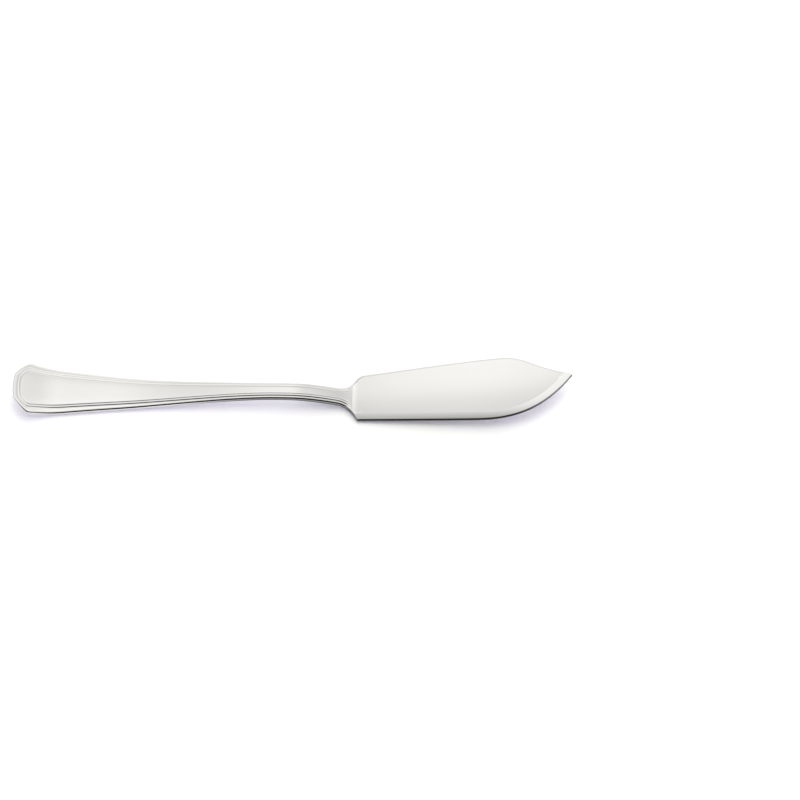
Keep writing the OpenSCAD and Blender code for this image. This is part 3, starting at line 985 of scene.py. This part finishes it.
# The studio's ceiling as a share of full light: round from the back at 0 over the top to the front at
# 180 degrees, and from end to end of the knife
ROUND = (
    (0, 0.9), (12, 0.98), (25, 1), (42, 1), (47, 0.82), (50, 0.73), (54.6, 0.8), (57, 0.85),
    (60, 0.95), (64, 1), (78, 1), (110, 1), (150, 0.8), (180, 0.6),
)
ALONG = (
    (-1, 0.68), (-0.5, 0.72), (-0.3, 0.79), (-0.2, 0.9), (-0.12, 0.98), (0, 1), (0.12, 1),
    (0.3, 0.97), (0.4, 0.94), (0.46, 0.9), (0.55, 0.82), (0.62, 0.78), (1, 0.75),
)
# The dark opening in the ceiling where the camera stands: its place and reach, first round and then
# along, how many degrees it runs on past its place, how dark it is, and its edge's start and softness
OPENING = (128, 42, 0.05, 0.6)
OPENING_SPAN = 30
OPENING_DARK = 0.97
OPENING_EDGE = (0.5, 0.85)
# Where the ceiling turns from its own colour to the room's, in degrees, and over how many
ROOM_TURN = (110, 50)


def light_sky(scene, looks):
    """A ceiling that is bright overhead and towards the back, dims to each end and opens to a dark
    room where the camera stands. The camera itself sees plain white."""
    world = bpy.data.worlds.new("studio")
    tree = empty_tree(world)
    along, back, up = coordinates(tree, "Generated")[1]
    turn = up.math("ARCTAN2", up, back) * (180 / math.pi)

    def ramp(value, low, high, levels):
        """A level that follows the stops given for a value."""
        stops = [((place - low) / (high - low), (level,) * 3) for place, level in levels]
        node = add(tree, "ShaderNodeValToRGB", {"stops": stops}, {"Fac": (value - low) / (high - low)})
        return wire(tree, node, "Color")

    where, reach, side, spread = OPENING
    rim, softness = OPENING_EDGE
    room, room_turn = ROOM_TURN
    off = (turn - where).least(0) + (turn - where - OPENING_SPAN).most(0)
    away = ((off / reach) ** 2 + ((along - side) / spread) ** 2).root()
    opening = 1 - OPENING_DARK * (1 - ease((away - rim) / softness))
    level = ramp(turn, 0, 180, ROUND) * ramp(along, -1, 1, ALONG) * opening
    tint = blend_colours(tree, ease((turn - room) / room_turn), looks.ceiling_colour, looks.room_colour)
    sky = add(tree, "ShaderNodeVectorMath", {"operation": "SCALE"}, {
        0: tint, "Scale": level * looks.sky_level})
    camera = wire(tree, add(tree, "ShaderNodeLightPath"), "Is Camera Ray")
    shown = blend_colours(tree, camera, wire(tree, sky), (1, 1, 1))
    background = add(tree, "ShaderNodeBackground", {}, {"Color": shown, "Strength": 1})
    add(tree, "ShaderNodeOutputWorld", {}, {"Surface": wire(tree, background)})
    scene.world = world


# The lamp's width, height and place
LAMP_SIZE = (1.6, 2.4)
LAMP_PLACE = (0.12, 0.56, 1.45)
# How far the camera's aim lies to the near side of the handle's axis, and how high above the table
AIM_ASIDE = 0.00012
AIM_HEIGHT = 0.0011


def hang_lamp(scene, looks):
    """A wide soft lamp at the back, which throws the shadow on the table."""
    lamp = bpy.data.lights.new("key", "AREA")
    lamp.energy = looks.key_power
    lamp.shape = "RECTANGLE"
    lamp.size, lamp.size_y = LAMP_SIZE
    lamp.color = looks.key_colour
    key = put(scene, "key", lamp)
    key.location = LAMP_PLACE
    key.rotation_euler = (-key.location).to_track_quat("-Z", "Y").to_euler()
    key.visible_glossy = False


def stand_camera(scene, looks):
    """The camera, far off behind a long lens, aimed at a place along the knife."""
    sizes = all_sizes(scene)
    along = looks.aim_along - sizes.total_length / 2
    aim = Vector((along, -Plan(sizes).middle() - AIM_ASIDE, AIM_HEIGHT))
    a, e = looks.azimuth, looks.elevation
    forward = Vector((-math.sin(a) * math.cos(e), math.cos(a) * math.cos(e), -math.sin(e)))
    lens = bpy.data.cameras.new("camera")
    lens.lens = looks.lens
    lens.sensor_width = 36
    lens.clip_end = 20
    camera = put(scene, "camera", lens)
    camera.location = aim - forward * looks.distance
    camera.rotation_euler = forward.to_track_quat("-Z", "Y").to_euler()
    scene.camera = camera


class FISHKNIFE_PT_panel(Panel):
    """Makes the knife and its studio"""

    bl_idname = "FISHKNIFE_PT_panel"
    bl_label = "Fish Knife"
    bl_space_type = "VIEW_3D"
    bl_region_type = "UI"
    bl_category = "Fish Knife"

    def draw(self, context):
        layout = self.layout
        for operator in OPERATORS:
            layout.operator(operator.bl_idname)
        for group, kind in GROUPS.items():
            box = layout.box()
            for name in kind.__annotations__:
                box.prop(getattr(context.scene, group), name)


OPERATORS = (FISHKNIFE_OT_make_knife, FISHKNIFE_OT_set_studio)
CLASSES = (*GROUPS.values(), *OPERATORS, FISHKNIFE_PT_panel)


def register():
    for kind in CLASSES:
        bpy.utils.register_class(kind)
    for name, kind in GROUPS.items():
        setattr(bpy.types.Scene, name, PointerProperty(type=kind))


def unregister():
    for name in GROUPS:
        delattr(bpy.types.Scene, name)
    for kind in reversed(CLASSES):
        bpy.utils.unregister_class(kind)


def main():
    register()
    bpy.ops.fishknife.make_knife()
    bpy.ops.fishknife.set_studio()


if __name__ == "__main__":
    main()
